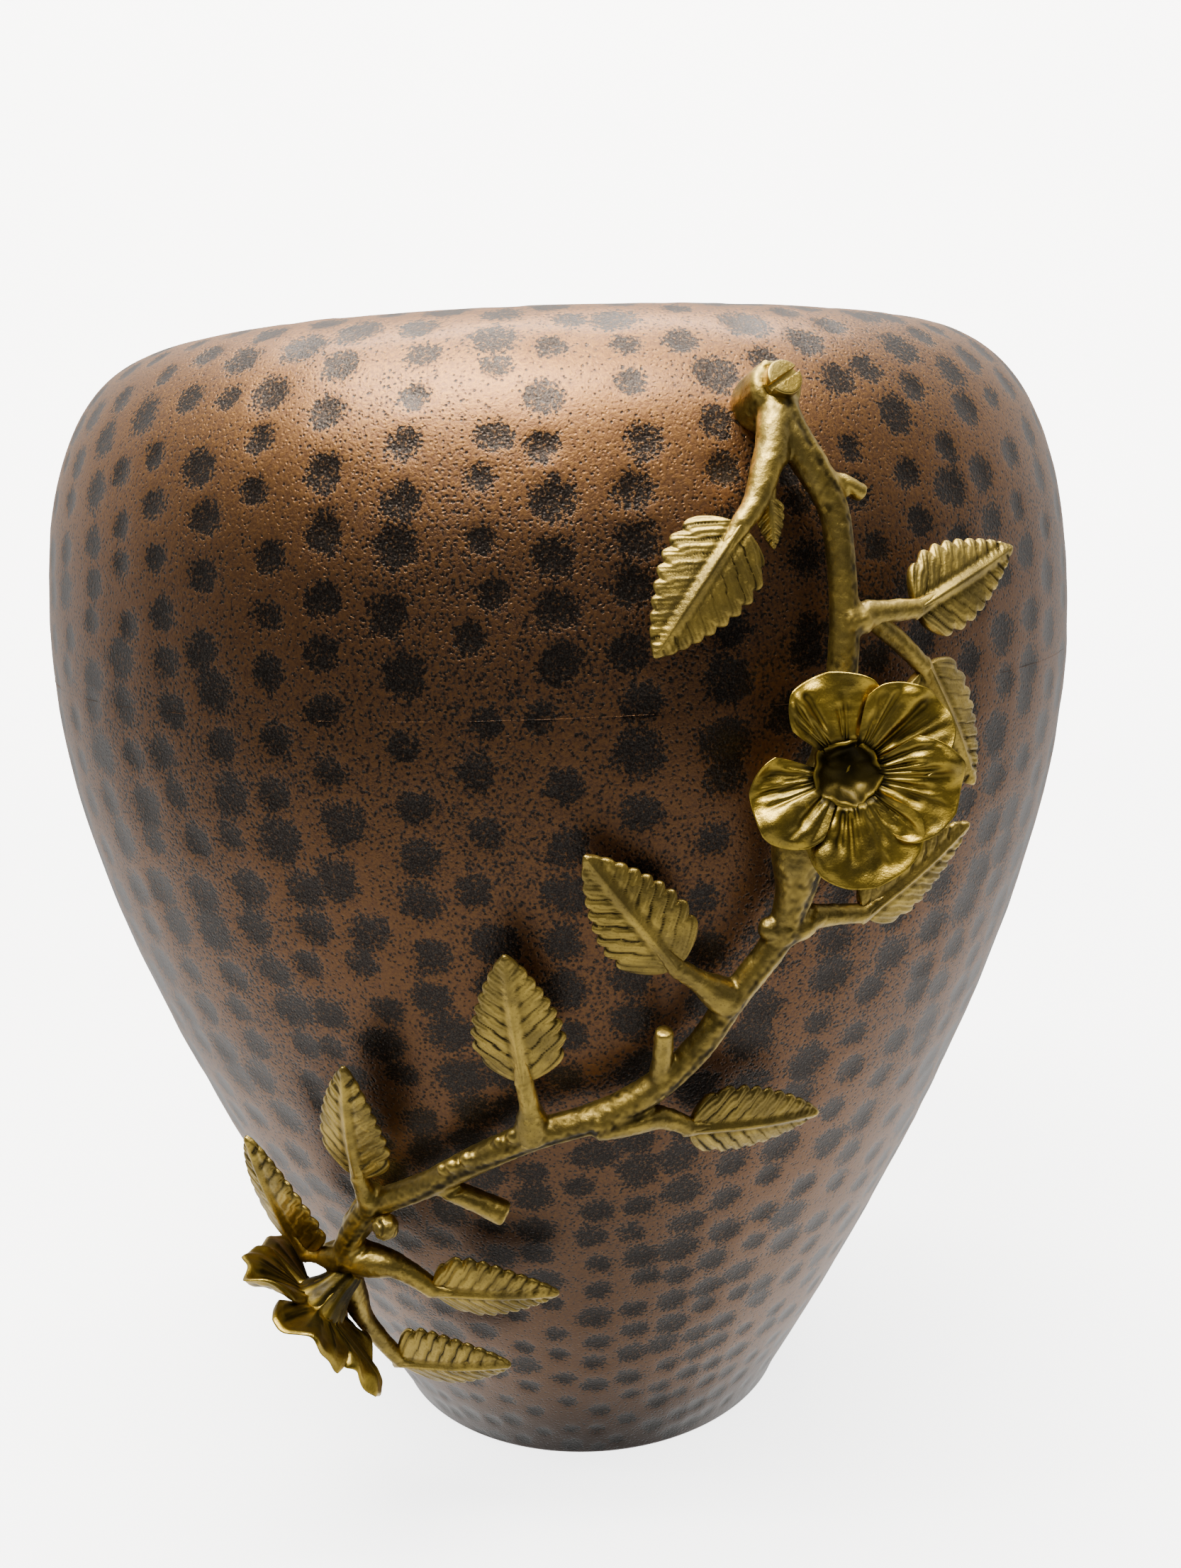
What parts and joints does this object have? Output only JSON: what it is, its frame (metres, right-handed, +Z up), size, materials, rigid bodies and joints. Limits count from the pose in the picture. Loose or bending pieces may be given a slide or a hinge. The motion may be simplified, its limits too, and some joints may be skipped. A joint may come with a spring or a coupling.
{
  "type": "vase",
  "caption": "Hammered metal vase with a rounded shoulder and narrow foot, and a cast flowering vine bolted to its front.",
  "frame": {"origin": "centre of the foot, on the surface it stands on", "axes": "+Z up along the vase's axis, the vine on the -Y side, +X to the right as seen from the front"},
  "size_m": [0.23, 0.2414, 0.253],
  "materials": {
    "hammered_copper": "antiqued, hammered, satin",
    "cast_brass": "satin cast",
    "flower_brass": "part polished",
    "screw_brass": "satin",
    "rim_wire": "plain",
    "steel": "plated"
  },
  "bodies": {
    "root": {"body_lower": "hammered_copper", "body_upper": "hammered_copper", "rim_wire": "rim_wire", "vine_stem": "cast_brass", "leaf_1": "cast_brass", "leaf_2": "cast_brass", "leaf_3": "cast_brass", "leaf_4": "cast_brass", "leaf_5": "cast_brass", "leaf_6": "cast_brass", "leaf_7": "cast_brass", "leaf_8": "cast_brass", "leaf_9": "cast_brass", "leaf_10": "cast_brass", "leaf_11": "cast_brass", "bud_leaf": "cast_brass", "round_bud": "cast_brass", "flower_upper": "flower_brass", "flower_lower": "flower_brass", "top_screw": "screw_brass", "studs": "cast_brass", "washers": "steel", "nuts": "steel"}
  },
  "joints": []
}
